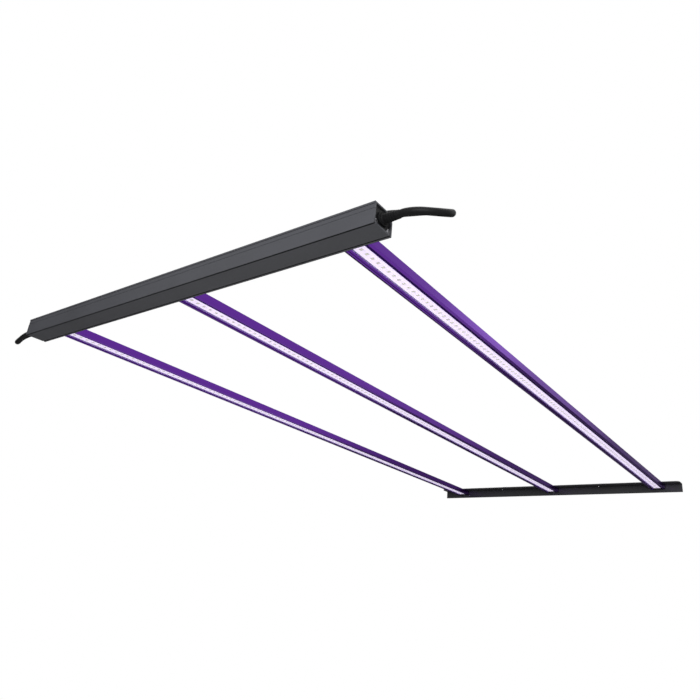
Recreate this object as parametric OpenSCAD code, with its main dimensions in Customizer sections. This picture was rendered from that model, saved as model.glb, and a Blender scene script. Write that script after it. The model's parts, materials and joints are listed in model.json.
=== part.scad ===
// A slim LED grow light for shelves: a driver bar and an end rail joined by three light bars.
// +X runs along the driver bar, +Y from the driver bar to the end rail, +Z up.
// The light shines down, and the driver bar and the end rail rest on z = 0.

/* [Frame] */
// Length from the driver bar's outer face to the end rail's outer face
overall_l = 1160; // [700:10:1500]
// Distance between the centrelines of neighbouring light bars
bar_pitch = 232; // [212:1:240]

/* [Driver bar] */
// Length of the driver bar
driver_l = 550; // [536:1:640]
// Width of the driver bar
driver_w = 27; // [26:0.5:34]
// Height of the driver bar with its cover
driver_h = 21.5; // [20.5:0.5:26]
// Wall of the driver bar's body
wall = 2; // [1.6:0.1:2.2]
// Height of the cover's skirt
skirt_h = 7.1; // [6:0.1:8]
// Thickness of the cover's top
cover_t = 1.6; // [1.2:0.1:2]
// Height and depth of the shadow groove along the seam
seam = 0.6; // [0.4:0.1:0.8]
// Depth of the shallow band along each side of the cover
band_d = 0.25; // [0.1:0.05:0.4]
// Width of the shadow groove along the underside's outer edge
foot_groove = 1.4; // [0.8:0.1:1.8]
// How far the end caps are set back from the body's ends
cap_recess = 1.5; // [0.5:0.1:3]
// Thickness of the driver bar's end caps
cap_t = 4; // [3:0.1:5]

/* [Light bars] */
// Width of a light bar
bar_w = 30; // [28:0.5:34]
// Height of a light bar
bar_h = 9.6; // [9.2:0.1:10.4]
// Height of a light bar's underside above the rest plane
bar_z = 6.4; // [6:0.1:7]
// Width of the channel that holds the LED board
channel_w = 15; // [13:0.1:16]
// Depth of that channel from the ridges beside it
channel_d = 3.5; // [3.4:0.1:3.8]
// How far each inner slope rises from its ridge to the channel
slope_d = 1; // [0.4:0.1:1.1]
// Distance from a light bar's middle to each ridge on its underside
ridge_x = 12; // [10.5:0.5:13]
// Height of the bevel outside each ridge
bevel_h = 0.8; // [0.4:0.1:1.4]
// Thickness of the web above the channel
web_t = 2.2; // [1.8:0.1:2.6]
// Width of a slot between two cooling fins
fin_slot = 2; // [1.5:0.1:2.4]
// Distance from one fin slot to the next
fin_pitch = 4; // [3.8:0.1:4.2]
// Thickness of the LED board
board_t = 1.2; // [1:0.1:1.4]
// Thickness of the clear cover over the LEDs
lens_t = 0.7; // [0.5:0.1:0.8]
// Thickness of a light bar's end cap
bar_cap_t = 2.5; // [2:0.1:4]

/* [End rail] */
// Length of the end rail
rail_l = 560; // [520:1:600]
// Width of the rail's top flange
rail_w = 28; // [27:0.5:36]
// Thickness of the rail's top flange
rail_t = 2.2; // [1.8:0.1:2.6]
// Thickness of the rail's upright wall
rail_wall = 2.5; // [2:0.1:3]
// Radius of the flange's outer corners
rail_corner = 8; // [2:0.5:10]
// Diameter of the two hook holes in the flange
hook_hole_d = 4.5; // [3.5:0.1:5.5]
// Distance between the two hook holes
hook_hole_span = 348; // [300:1:360]

/* [Hanging rings] */
// Distance between the two rings on a bar
ring_span = 232; // [160:1:240]
// Diameter of the ring's wire
ring_wire = 2.5; // [2:0.1:2.8]
// Radius of the ring's round end, to the wire's centre
ring_r = 5.75; // [5.5:0.05:6.2]
// Length of the ring's straight sides
ring_leg = 9; // [8:0.5:12]

/* [Cords] */
// Diameter of both cords
cord_d = 7; // [6:0.1:7.4]
// Diameter of the round connectors
plug_d = 13; // [12:0.1:13.4]
// Length of a connector's body
plug_l = 26; // [20:1:30]
// Length of a connector's screw cap
plug_cap_l = 16; // [12:1:20]

/* [Hidden] */
$fn = 48;

fit = 0.05;       // running clearance on a radius, and of a part laid in a channel
cut = 1;          // how far a cutter reaches past a face
near_y = -overall_l / 2;
far_y = overall_l / 2;
driver_y = near_y + driver_w / 2;
driver_far_y = near_y + driver_w;
end_x = driver_l / 2;

// driver bar
body_h = driver_h - skirt_h;
inner_w = driver_w - 2 * wall;
inner_h = driver_h - wall - cover_t;
cap_x = end_x - cap_recess;       // outer face of an end cap
cap_in_x = cap_x - cap_t;         // inner face of an end cap
port_r = 2.6;                     // screw port in a lower inner corner
port_hole_r = 1.25;
port_y = wall + port_r - 0.4;     // from the body's outer face
port_z = wall + port_r - 0.4;
clip_t = 1.2;
clip_h = 3;
ledge_w = 1.4;
ledge_t = 1;
ledge_z = port_z + port_r + 0.4;
board_w = inner_w - 0.4;
pcb_t = 1.6;
pcb_z = ledge_z + ledge_t;
pcb_l = driver_l - 130;
stripe_z = driver_h - 2;          // shadow line under the cover's top edge
stripe_h = 0.6;
groove_d = 1;                     // depth of the two grooves along the underside
groove_lip = 0.5;                 // what is left outside the outer one
inner_groove = [driver_w - 3.4, driver_w - 2.2];

// cord outlets in the end caps
gland_z = driver_h / 2;
gland_pad_w = 15;
gland_pad_h = 12;
gland_pad_t = 2;
boot_l = 16;
boot_d = cord_d + 2.4;
boot_tip_d = cord_d + 0.6;
gland_hole_d = cord_d + 1;
exit_x = cap_x + gland_pad_t + boot_l;

// light bars
bar_top = bar_z + bar_h;
socket_t = 2;                     // flange of a lamp socket
socket_l = 6;                     // reach of a lamp socket
socket_rim = 1.2;
socket_ear = 7;
socket_y = driver_far_y + socket_t;
bar_start = socket_y + bar_cap_t;
rail_wall_y = far_y - rail_wall;
bar_stop = rail_wall_y - bar_cap_t - 0.3;
bar_l = bar_stop - bar_start;
nose_w = 16;
nose_h = 5;
nose_l = socket_t + wall;         // as far as the inner face of the wall
nose_z = bar_z + bar_h / 2;
board_mm = channel_w - 1.5;
bar_screw_x = 11.5;
bar_screw_y = far_y - rail_w / 2;

// end rail
rail_top = bar_top + rail_t;

// hanging rings
bore_h = 1.9;                     // hinge height above the face that the lug sits on
lug_w = 2 * ring_r - ring_wire - 1;
lug_x = 8;
lug_h = bore_h + ring_wire / 2 + 1;
lug_base = 1;
lug_base_x = ring_leg + 1.4;
lug_screw_x = lug_base_x - 2.9;
lug_head_d = 4.6;
lug_head_h = 1.2;
lug_screw_d = 2.5;
driver_ring_y = driver_y;
rail_ring_y = far_y - ring_r - ring_wire / 2 - 1;

// connectors, which lie on the cover
plug_y = near_y + 18;
plug_z = driver_h + plug_d / 2;
plug_end_x = 196;                 // where a cord enters its connector's nut
plug_nut_l = 14;
plug_x = plug_end_x - plug_nut_l; // rear end of the connector's body
spigot_l = plug_cap_l - 3;
spigot_d = plug_d - 3;

// Routes of the cords: each leaves its gland, turns back and lies over the driver bar.
cord_sides = 10;
route_right = [[exit_x, driver_y, gland_z], [exit_x + 5, driver_y, gland_z],
    [306.7, near_y + 16.3, 10.4], [315.2, near_y + 22.9, 10.9], [320.7, near_y + 31.8, 13.5],
    [322.2, near_y + 41.3, 18.1], [319.8, near_y + 49.9, 23.9], [313.9, near_y + 56.3, 29.9],
    [305.5, near_y + 59.6, 35.3], [296, near_y + 60.1, 39.5], [285.9, near_y + 58.5, 41.6],
    [276.1, near_y + 55.1, 41.9], [266.9, near_y + 50.2, 41], [258.6, near_y + 44.3, 39.4],
    [250.2, near_y + 38.6, 36.9], [241.5, near_y + 33.4, 34.2], [232.8, near_y + 28, 31.8],
    [223.5, near_y + 23.5, 29.9], [213.8, near_y + 19.9, 28.5], [203.5, plug_y, plug_z],
    [plug_end_x, plug_y, plug_z]];
route_left = [[-exit_x, driver_y, gland_z], [-exit_x - 6, driver_y, gland_z],
    [-308.5, near_y + 13.1, 8.8], [-319.4, near_y + 14, 6], [-330.7, near_y + 16.9, 6.2],
    [-340.6, near_y + 21.4, 10.5], [-347.3, near_y + 27.6, 18.2], [-349.3, near_y + 36, 27.2],
    [-346, near_y + 45.6, 35], [-337.6, near_y + 53.8, 40.7], [-325.9, near_y + 58.8, 43.7],
    [-313, near_y + 60, 44.3], [-300.5, near_y + 57.5, 44.1], [-288.6, near_y + 53.3, 43.8],
    [-276.6, near_y + 49.9, 42.4], [-265.1, near_y + 45.7, 40.1], [-254.2, near_y + 40.6, 37.3],
    [-243.8, near_y + 35.1, 34.5], [-234.2, near_y + 28.9, 31.7], [-224.5, near_y + 23.3, 29.5],
    [-214.4, near_y + 19.7, 28.3], [-204, plug_y, plug_z], [-plug_end_x, plug_y, plug_z]];
cord_up = [0, -0.63, 0.78];       // square to the plane in which the cords turn back

function unit(v) = v / norm(v);
function along(p, i) = unit(p[min(i + 1, len(p) - 1)] - p[max(i - 1, 0)]);
function ring_points(centre, dir, r, sides) =
    let (side = unit(cross(cord_up, dir)), top = cross(dir, side))
    [for (k = [0 : sides - 1]) centre + r * (cos(360 * k / sides) * side + sin(360 * k / sides) * top)];

module tube(route, r, sides) {
    rings = [for (i = [0 : len(route) - 1]) each ring_points(route[i], along(route, i), r, sides)];
    last = (len(route) - 1) * sides;
    walls = [for (i = [0 : len(route) - 2], k = [0 : sides - 1])
        [i * sides + k, (i + 1) * sides + k,
         (i + 1) * sides + (k + 1) % sides, i * sides + (k + 1) % sides]];
    ends = [[for (k = [0 : sides - 1]) k], [for (k = [sides - 1 : -1 : 0]) last + k]];
    polyhedron(points = rings, faces = concat(walls, ends));
}

// A box from its middle in X and Y and its foot in Z
module block(size, at) {
    translate([at[0], at[1], at[2] + size[2] / 2]) cube(size, center = true);
}

// A box drawn in the driver bar's section: across from its outer face, up from z = 0
module bar_box(x0, x1, y0, y1, z0, z1) {
    translate([x0, near_y + y0, z0]) cube([x1 - x0, y1 - y0, z1 - z0]);
}

module rod_x(x0, x1, y, z, r) {
    translate([x0, y, z]) rotate([0, 90, 0]) cylinder(h = x1 - x0, r = r);
}

module rod_y(x, y0, y1, z, r) {
    translate([x, y0, z]) rotate([-90, 0, 0]) cylinder(h = y1 - y0, r = r);
}

module rod_z(x, y, z0, z1, r) {
    translate([x, y, z0]) cylinder(h = z1 - z0, r = r);
}

module at_bars() {
    for (i = [-1 : 1]) translate([i * bar_pitch, 0, 0]) children();
}

module both_ends() {
    for (i = [0, 1]) mirror([i, 0, 0]) children();
}

// ---- driver bar ----

module driver_body() {
    color([0.25, 0.26, 0.29]) difference() {
        union() {
            difference() {
                bar_box(-end_x, end_x, 0, driver_w, 0, body_h);
                bar_box(-end_x - cut, end_x + cut, wall, driver_w - wall, wall, body_h + cut);
            }
            for (y = [port_y, driver_w - port_y])
                difference() {
                    rod_x(-cap_in_x, cap_in_x, near_y + y, port_z, port_r);
                    rod_x(-end_x, end_x, near_y + y, port_z, port_hole_r);
                }
            bar_box(-cap_in_x, cap_in_x, wall - 0.2, wall + ledge_w, ledge_z, ledge_z + ledge_t);
            bar_box(-cap_in_x, cap_in_x, driver_w - wall - ledge_w, driver_w - wall + 0.2,
                ledge_z, ledge_z + ledge_t);
        }
        // nose holes and socket screws in the wall that carries the light bars
        at_bars() {
            translate([0, driver_far_y - wall / 2, nose_z])
                cube([nose_w + 0.4, wall + 2 * ledge_w + cut, nose_h + 0.4], center = true);
            for (side = [-1, 1])
                rod_y(side * (bar_w / 2 + socket_ear), driver_far_y - wall - cut,
                    driver_far_y + cut, nose_z, 1.25);
        }
        // two grooves along the underside
        for (y = [[groove_lip, groove_lip + foot_groove], inner_groove])
            bar_box(-end_x - cut, end_x + cut, y[0], y[1], -cut, groove_d);
    }
}

module driver_cover() {
    color([0.24, 0.25, 0.28]) difference() {
        union() {
            bar_box(-end_x, end_x, 0, driver_w, body_h, driver_h);
            bar_box(-cap_in_x, cap_in_x, wall, driver_w - wall, body_h - clip_h, body_h);
        }
        bar_box(-end_x - cut, end_x + cut, wall + clip_t, driver_w - wall - clip_t,
            body_h - clip_h - cut, driver_h - cover_t);
        bar_box(cap_in_x, end_x + cut, wall, driver_w - wall, body_h - cut, driver_h - cover_t);
        bar_box(-end_x - cut, -cap_in_x, wall, driver_w - wall, body_h - cut, driver_h - cover_t);
        for (y = [[-cut, seam], [driver_w - seam, driver_w + cut]])
            bar_box(-end_x - cut, end_x + cut, y[0], y[1], body_h - cut, body_h + seam);
        for (y = [[-cut, stripe_h], [driver_w - stripe_h, driver_w + cut]])
            bar_box(-end_x - cut, end_x + cut, y[0], y[1], stripe_z - stripe_h, stripe_z);
        for (y = [[-cut, band_d], [driver_w - band_d, driver_w + cut]])
            bar_box(-end_x - cut, end_x + cut, y[0], y[1], body_h + seam, stripe_z - stripe_h);
        for (x = [-ring_span / 2, ring_span / 2]) lug_screw_hole(x, driver_ring_y, driver_h);
    }
}

// One end cap at +X; the left one is its mirror image
module end_cap() {
    color([0.07, 0.07, 0.08]) difference() {
        bar_box(cap_in_x, cap_x, wall, driver_w - wall, wall, wall + inner_h);
        rod_x(cap_in_x - cut, cap_x + cut, driver_y, gland_z, gland_hole_d / 2);
        for (y = [port_y, driver_w - port_y])
            rod_x(cap_in_x - cut, cap_x + cut, near_y + y, port_z, 1.6);
    }
}

module end_cap_screws() {
    color([0.8, 0.82, 0.82])
        for (y = [port_y, driver_w - port_y]) {
            rod_x(cap_in_x - 8, cap_x, near_y + y, port_z, port_hole_r);
            difference() {
                rod_x(cap_x, cap_x + 1.2, near_y + y, port_z, 2.2);
                bar_box(cap_x + 0.6, cap_x + 1.2 + cut, y - 1.6, y + 1.6,
                    port_z - 0.3, port_z + 0.3);
            }
        }
}

module gland() {
    color([0.04, 0.04, 0.05]) {
        rod_x(cap_in_x, cap_x, driver_y, gland_z, gland_hole_d / 2);
        // oval pad with round ends
        for (side = [-1, 1])
            rod_x(cap_x, cap_x + gland_pad_t,
                driver_y + side * (gland_pad_w - gland_pad_h) / 2, gland_z, gland_pad_h / 2);
        translate([cap_x + gland_pad_t / 2, driver_y, gland_z])
            cube([gland_pad_t, gland_pad_w - gland_pad_h, gland_pad_h], center = true);
        translate([cap_x + gland_pad_t, driver_y, gland_z]) rotate([0, 90, 0])
            cylinder(h = boot_l, r1 = boot_d / 2, r2 = boot_tip_d / 2);
    }
}

// ---- inside the driver bar ----

module driver_board() {
    color([0.1, 0.35, 0.2])
        block([pcb_l, board_w, pcb_t], [0, driver_y, pcb_z]);
}

module transformer() {
    core_h = driver_h - cover_t - pcb_z - pcb_t - 1;
    color([0.85, 0.75, 0.2]) {
        block([22, board_w - 5, core_h], [-60, driver_y, pcb_z + pcb_t]);
        block([30, board_w - 9, core_h - 1.5], [-60, driver_y, pcb_z + pcb_t]);
    }
}

module capacitors() {
    color([0.2, 0.2, 0.5])
        for (x = [110, 128, 146])
            rod_z(x, driver_y, pcb_z + pcb_t, driver_h - cover_t - 1, 4);
}

module switch_heatsink() {
    plate_y = driver_far_y - wall - clip_t - 2.2;
    color([0.7, 0.7, 0.72]) {
        block([70, 2, driver_h - cover_t - pcb_z - pcb_t - 1], [40, plate_y, pcb_z + pcb_t]);
        for (x = [20, 40, 60])
            block([10, 3, 6], [x, plate_y - 2.5, pcb_z + pcb_t]);
    }
}

module terminal_block() {
    color([0.15, 0.5, 0.25])
        block([14, 14, driver_h - cover_t - pcb_z - pcb_t - 2],
            [pcb_l / 2 - 10, driver_y, pcb_z + pcb_t]);
}

// ---- light bars ----

module lamp_socket() {
    ear_x = bar_w / 2 + socket_ear;
    color([0.05, 0.05, 0.06]) difference() {
        union() {
            block([2 * ear_x + 8, socket_t, bar_h], [0, driver_far_y + socket_t / 2, bar_z]);
            block([bar_w + 2 * socket_rim, socket_l, bar_h + 2 * socket_rim],
                [0, driver_far_y + socket_l / 2, bar_z - socket_rim]);
        }
        block([bar_w + 4 * fit, socket_l, bar_h + 4 * fit],
            [0, socket_y + socket_l / 2, bar_z - 2 * fit]);
        block([nose_w + 0.4, 2 * socket_l, nose_h + 0.4],
            [0, driver_far_y, nose_z - nose_h / 2 - 0.2]);
        for (side = [-1, 1])
            rod_y(side * ear_x, driver_far_y - cut, socket_y + cut, nose_z, 1.5);
    }
}

module socket_screws() {
    color([0.75, 0.75, 0.77]) at_bars()
        for (side = [-1, 1]) {
            rod_y(side * (bar_w / 2 + socket_ear), driver_far_y - wall, socket_y, nose_z, 1.25);
            rod_y(side * (bar_w / 2 + socket_ear), socket_y, socket_y + 1.4, nose_z, 2.4);
        }
}

module bar_plug() {
    color([0.06, 0.06, 0.07]) {
        block([bar_w, bar_cap_t, bar_h], [0, socket_y + bar_cap_t / 2, bar_z]);
        block([nose_w, nose_l, nose_h], [0, socket_y - nose_l / 2, nose_z - nose_h / 2]);
    }
}

// Half of the bar's section, drawn from its middle outwards
module bar_half_section() {
    fin_foot = channel_d + web_t;
    difference() {
        polygon([[0, channel_d], [channel_w / 2, channel_d], [channel_w / 2, slope_d],
            [ridge_x, 0], [bar_w / 2, bevel_h], [bar_w / 2, bar_h], [0, bar_h]]);
        for (i = [0.5 : 1.5])
            translate([i * fin_pitch - fin_slot / 2, fin_foot]) square([fin_slot, bar_h]);
    }
}

module bar_profile() {
    color([0.38, 0.2, 0.62]) difference() {
        translate([0, bar_stop, bar_z]) rotate([90, 0, 0]) linear_extrude(bar_l) {
            bar_half_section();
            mirror([1, 0]) bar_half_section();
        }
        for (side = [-1, 1])
            rod_z(side * bar_screw_x, bar_screw_y, bar_top - 5.5, bar_top + cut, 1.25);
    }
}

module led_board() {
    color([0.95, 0.93, 0.98])
        block([board_mm, bar_l - 4, board_t],
            [0, (bar_start + bar_stop) / 2, bar_z + channel_d - board_t]);
}

module bar_lens() {
    mid_y = (bar_start + bar_stop) / 2;
    leg_t = 0.6;
    color([0.92, 0.88, 1, 0.6]) {
        block([channel_w - 2 * fit, bar_l, lens_t], [0, mid_y, bar_z + slope_d]);
        for (side = [-1, 1])
            block([leg_t, bar_l, channel_d - slope_d - lens_t - 0.4],
                [side * (channel_w / 2 - fit - leg_t / 2), mid_y, bar_z + slope_d + lens_t]);
    }
}

module bar_end_cap() {
    color([0.05, 0.05, 0.06]) {
        block([bar_w, bar_cap_t, bar_h], [0, bar_stop + bar_cap_t / 2, bar_z]);
        // tongues that plug into the two outer fin slots
        for (i = [-1.5, 1.5])
            block([fin_slot - 2 * fit, 6, bar_h - channel_d - web_t - 0.5],
                [i * fin_pitch, bar_stop - 3, bar_z + channel_d + web_t + 0.2]);
    }
}

// ---- end rail ----

module end_rail() {
    color([0.12, 0.12, 0.13]) difference() {
        union() {
            translate([0, 0, bar_top]) linear_extrude(rail_t) {
                translate([-rail_l / 2, far_y - rail_w + rail_corner])
                    square([rail_l, rail_w - rail_corner]);
                translate([-rail_l / 2 + rail_corner, far_y - rail_w])
                    square([rail_l - 2 * rail_corner, rail_w - 1]);
                for (side = [-1, 1])
                    translate([side * (rail_l / 2 - rail_corner), far_y - rail_w + rail_corner])
                        circle(r = rail_corner);
            }
            translate([-rail_l / 2, rail_wall_y, 0]) cube([rail_l, rail_wall, rail_top]);
        }
        for (side = [-1, 1])
            rod_z(side * hook_hole_span / 2, bar_screw_y, bar_top - cut, rail_top + cut,
                hook_hole_d / 2);
        at_bars()
            for (side = [-1, 1])
                rod_z(side * bar_screw_x, bar_screw_y, bar_top - cut, rail_top + cut, 1.6);
        for (x = [-ring_span / 2, ring_span / 2]) lug_screw_hole(x, rail_ring_y, rail_top);
    }
}

module rail_screws() {
    color([0.1, 0.1, 0.11]) at_bars()
        for (side = [-1, 1]) {
            rod_z(side * bar_screw_x, bar_screw_y, bar_top - 5, rail_top, 1.25);
            rod_z(side * bar_screw_x, bar_screw_y, rail_top, rail_top + 1.2, 2.6);
        }
}

// ---- hanging rings: a wire ring hinged in a small lug ----

module lug_screw_hole(x, y, z) {
    rod_z(x - lug_screw_x, y, z - 6, z + cut, lug_screw_d / 2);
}

module ring_lug(x, y, z) {
    color([0.6, 0.61, 0.63]) difference() {
        union() {
            block([lug_x, lug_w, lug_h], [x, y, z]);
            block([lug_base_x, lug_w, lug_base], [x - lug_base_x / 2, y, z]);
        }
        rod_y(x, y - lug_w, y + lug_w, z + bore_h, ring_wire / 2 + fit);
        rod_z(x - lug_screw_x, y, z - cut, z + lug_base + cut, lug_screw_d / 2 + 0.1);
    }
}

module lug_screws(y, z, grip) {
    color([0.7, 0.7, 0.72])
        for (x = [-ring_span / 2, ring_span / 2]) {
            rod_z(x - lug_screw_x, y, z - grip, z + lug_base, lug_screw_d / 2);
            rod_z(x - lug_screw_x, y, z + lug_base, z + lug_base + lug_head_h, lug_head_d / 2);
        }
}

module hang_ring(x, y, z) {
    outer = ring_r + ring_wire / 2;
    inner = ring_r - ring_wire / 2;
    color([0.75, 0.76, 0.78]) translate([x, y, z + bore_h]) {
        rod_y(0, -outer, outer, 0, ring_wire / 2);
        translate([0, 0, -ring_wire / 2]) linear_extrude(ring_wire) difference() {
            union() {
                translate([0, -outer]) square([ring_leg, 2 * outer]);
                translate([ring_leg, 0]) circle(r = outer);
            }
            translate([-cut, -inner]) square([ring_leg + cut, 2 * inner]);
            translate([ring_leg, 0]) circle(r = inner);
        }
    }
}

// ---- cords and connectors ----

module cord(route) {
    color([0.05, 0.05, 0.06]) tube(route, cord_d / 2, cord_sides);
}

module connector_nut() {
    color([0.06, 0.06, 0.07]) translate([plug_end_x, plug_y, plug_z]) rotate([0, -90, 0]) {
        cylinder(h = 5, r1 = cord_d / 2 + 0.6, r2 = plug_d / 2 - 0.6);
        translate([0, 0, 5]) cylinder(h = plug_nut_l - 5, r = plug_d / 2 - 0.6);
    }
}

module connector() {
    color([0.05, 0.05, 0.06]) {
        rod_x(plug_x - plug_l, plug_x, plug_y, plug_z, plug_d / 2);
        rod_x(plug_x - plug_l - spigot_l, plug_x - plug_l, plug_y, plug_z, spigot_d / 2);
    }
}

module connector_cap() {
    front_x = plug_x - plug_l - 0.3;
    color([0.08, 0.08, 0.09]) difference() {
        rod_x(front_x - plug_cap_l, front_x, plug_y, plug_z, plug_d / 2 - 0.2);
        rod_x(front_x - spigot_l, front_x + cut, plug_y, plug_z, spigot_d / 2 + fit);
    }
}

driver_body();
driver_cover();
end_cap();  // end_cap_right
mirror([1, 0, 0]) end_cap();  // end_cap_left
end_cap_screws();  // end_cap_screws_right
mirror([1, 0, 0]) end_cap_screws();  // end_cap_screws_left
gland();  // gland_right
mirror([1, 0, 0]) gland();  // gland_left
driver_board();
transformer();
capacitors();
switch_heatsink();
terminal_block();  // terminal_block_right
mirror([1, 0, 0]) terminal_block();  // terminal_block_left
translate([-bar_pitch, 0, 0]) lamp_socket();  // lamp_socket_left
lamp_socket();  // lamp_socket_centre
translate([bar_pitch, 0, 0]) lamp_socket();  // lamp_socket_right
socket_screws();
translate([-bar_pitch, 0, 0]) bar_plug();  // bar_plug_left
bar_plug();  // bar_plug_centre
translate([bar_pitch, 0, 0]) bar_plug();  // bar_plug_right
translate([-bar_pitch, 0, 0]) bar_profile();  // bar_profile_left
bar_profile();  // bar_profile_centre
translate([bar_pitch, 0, 0]) bar_profile();  // bar_profile_right
translate([-bar_pitch, 0, 0]) led_board();  // led_board_left
led_board();  // led_board_centre
translate([bar_pitch, 0, 0]) led_board();  // led_board_right
translate([-bar_pitch, 0, 0]) bar_lens();  // bar_lens_left
bar_lens();  // bar_lens_centre
translate([bar_pitch, 0, 0]) bar_lens();  // bar_lens_right
translate([-bar_pitch, 0, 0]) bar_end_cap();  // bar_end_cap_left
bar_end_cap();  // bar_end_cap_centre
translate([bar_pitch, 0, 0]) bar_end_cap();  // bar_end_cap_right
end_rail();
rail_screws();
ring_lug(ring_span / 2, driver_ring_y, driver_h);  // ring_lug_driver_right
ring_lug(-ring_span / 2, driver_ring_y, driver_h);  // ring_lug_driver_left
ring_lug(ring_span / 2, rail_ring_y, rail_top);  // ring_lug_rail_right
ring_lug(-ring_span / 2, rail_ring_y, rail_top);  // ring_lug_rail_left
lug_screws(driver_ring_y, driver_h, cover_t);  // lug_screws_driver
lug_screws(rail_ring_y, rail_top, rail_t);  // lug_screws_rail
hang_ring(ring_span / 2, driver_ring_y, driver_h);  // hang_ring_driver_right
hang_ring(-ring_span / 2, driver_ring_y, driver_h);  // hang_ring_driver_left
hang_ring(ring_span / 2, rail_ring_y, rail_top);  // hang_ring_rail_right
hang_ring(-ring_span / 2, rail_ring_y, rail_top);  // hang_ring_rail_left
cord(route_right);  // cord_right
cord(route_left);  // cord_left
connector_nut();  // connector_nut_right
mirror([1, 0, 0]) connector_nut();  // connector_nut_left
connector();  // connector_right
mirror([1, 0, 0]) connector();  // connector_left
connector_cap();  // connector_cap_right
mirror([1, 0, 0]) connector_cap();  // connector_cap_left
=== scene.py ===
# LED grow light: a driver bar, three light bars and an end rail
import json
import math

import bmesh
import bpy
from mathutils import Matrix, Vector

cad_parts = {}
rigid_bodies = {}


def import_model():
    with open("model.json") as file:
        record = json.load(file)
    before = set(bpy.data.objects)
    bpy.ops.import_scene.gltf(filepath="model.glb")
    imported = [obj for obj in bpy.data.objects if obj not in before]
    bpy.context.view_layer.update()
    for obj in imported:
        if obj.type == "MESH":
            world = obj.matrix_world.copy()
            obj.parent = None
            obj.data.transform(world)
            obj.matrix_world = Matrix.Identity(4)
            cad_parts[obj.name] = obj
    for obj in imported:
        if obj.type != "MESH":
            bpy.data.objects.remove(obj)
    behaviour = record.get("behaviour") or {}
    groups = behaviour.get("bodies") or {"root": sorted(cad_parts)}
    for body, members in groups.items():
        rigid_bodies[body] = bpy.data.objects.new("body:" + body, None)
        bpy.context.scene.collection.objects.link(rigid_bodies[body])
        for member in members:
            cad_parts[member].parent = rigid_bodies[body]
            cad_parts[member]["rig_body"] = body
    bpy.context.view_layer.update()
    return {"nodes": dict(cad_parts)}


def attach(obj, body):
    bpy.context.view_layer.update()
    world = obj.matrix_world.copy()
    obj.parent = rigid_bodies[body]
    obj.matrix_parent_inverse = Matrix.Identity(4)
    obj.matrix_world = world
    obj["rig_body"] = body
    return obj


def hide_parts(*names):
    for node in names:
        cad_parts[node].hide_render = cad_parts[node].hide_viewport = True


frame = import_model()
nodes = frame["nodes"]
mm = 0.001
weld = 0.002 * mm  # corners closer together than this are one
nearY = -580  # the driver bar's outer face, in mm
barPitch = 232  # from the middle of one light bar to the next, in mm
barXs = {"left": -barPitch, "centre": 0, "right": barPitch}
print("frame loaded:", len(nodes), "nodes")

# the camera: its place in metres, and which way its right and its top point
cameraSettings = {"lens": 33.5, "sensor": 36, "clip": (0.01, 100),
                  "place": (0.54994, -0.94493, -0.29809),
                  "right": (0.80452, 0.58734, 0.08821), "up": (0.15452, -0.35039, 0.92377)}


def makeCamera(s):
    right, up = Vector(s["right"]), Vector(s["up"])
    camera = bpy.data.objects.new("camera", bpy.data.cameras.new("camera"))
    bpy.context.scene.collection.objects.link(camera)
    camera.data.lens, camera.data.sensor_width = s["lens"], s["sensor"]
    camera.data.clip_start, camera.data.clip_end = s["clip"]
    turn = Matrix((right, up, right.cross(up))).transposed().to_4x4()
    camera.matrix_world = Matrix.Translation(s["place"]) @ turn
    bpy.context.scene.camera = camera


makeCamera(cameraSettings)


# helpers for working as in edit mode

def deselectAll():
    if bpy.context.mode != "OBJECT":
        bpy.ops.object.mode_set(mode="OBJECT")
    bpy.ops.object.select_all(action="DESELECT")


def activate(piece):
    deselectAll()
    piece.select_set(True)
    bpy.context.view_layer.objects.active = piece


def added(name):  # the primitive that was just added
    piece = bpy.context.active_object
    piece.name = piece.data.name = name
    return piece


def applyPlace(piece):
    activate(piece)
    bpy.ops.object.transform_apply(location=True, rotation=True, scale=True)


def pick(piece, kind, test):  # edit mode, with the faces or corners selected that pass the test
    if bpy.context.active_object != piece or bpy.context.mode != "EDIT_MESH":
        activate(piece)
        bpy.ops.object.mode_set(mode="EDIT")
    bpy.ops.mesh.select_mode(type=kind)
    bpy.ops.mesh.select_all(action="DESELECT")
    mesh = bmesh.from_edit_mesh(piece.data)
    mesh.normal_update()
    if kind == "FACE":
        for face in mesh.faces:
            face.select_set(bool(test(face.calc_center_median(), face.normal)))
    else:
        for vert in mesh.verts:
            vert.select_set(bool(test(vert.co)))
    mesh.select_flush_mode()
    bmesh.update_edit_mesh(piece.data)


def facesDown(centre, normal):
    return normal.z < -0.9


def leaveEdit():
    bpy.ops.object.mode_set(mode="OBJECT")


def applyModifiers(piece):
    activate(piece)
    for modifier in list(piece.modifiers):
        bpy.ops.object.modifier_apply(modifier=modifier.name)


def roundEdges(piece, width, segments, angle=35):  # a small bevel along every crease
    bevel = piece.modifiers.new("edges", "BEVEL")
    bevel.width, bevel.segments = width, segments
    bevel.limit_method, bevel.angle_limit = "ANGLE", math.radians(angle)
    bevel.use_clamp_overlap = False
    applyModifiers(piece)


def smooth(piece, angle):  # broad faces keep their own normal beside eased edges
    activate(piece)
    bpy.ops.object.shade_smooth_by_angle(angle=math.radians(angle))
    broad = piece.modifiers.new("broad", "WEIGHTED_NORMAL")
    broad.keep_sharp, broad.weight = True, 100
    applyModifiers(piece)


def joined(name, pieces):
    deselectAll()
    for piece in pieces:
        piece.select_set(True)
    bpy.context.view_layer.objects.active = pieces[0]
    if len(pieces) > 1:
        bpy.ops.object.join()
    pieces[0].name = pieces[0].data.name = name
    return pieces[0]


def copied(piece, matrix, name):  # a copy with its own mesh, its place in the mesh
    twin = bpy.data.objects.new(name, piece.data.copy())
    bpy.context.scene.collection.objects.link(twin)
    twin.data.transform(matrix)
    if matrix.determinant() < 0:
        twin.data.flip_normals()
    return twin


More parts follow.
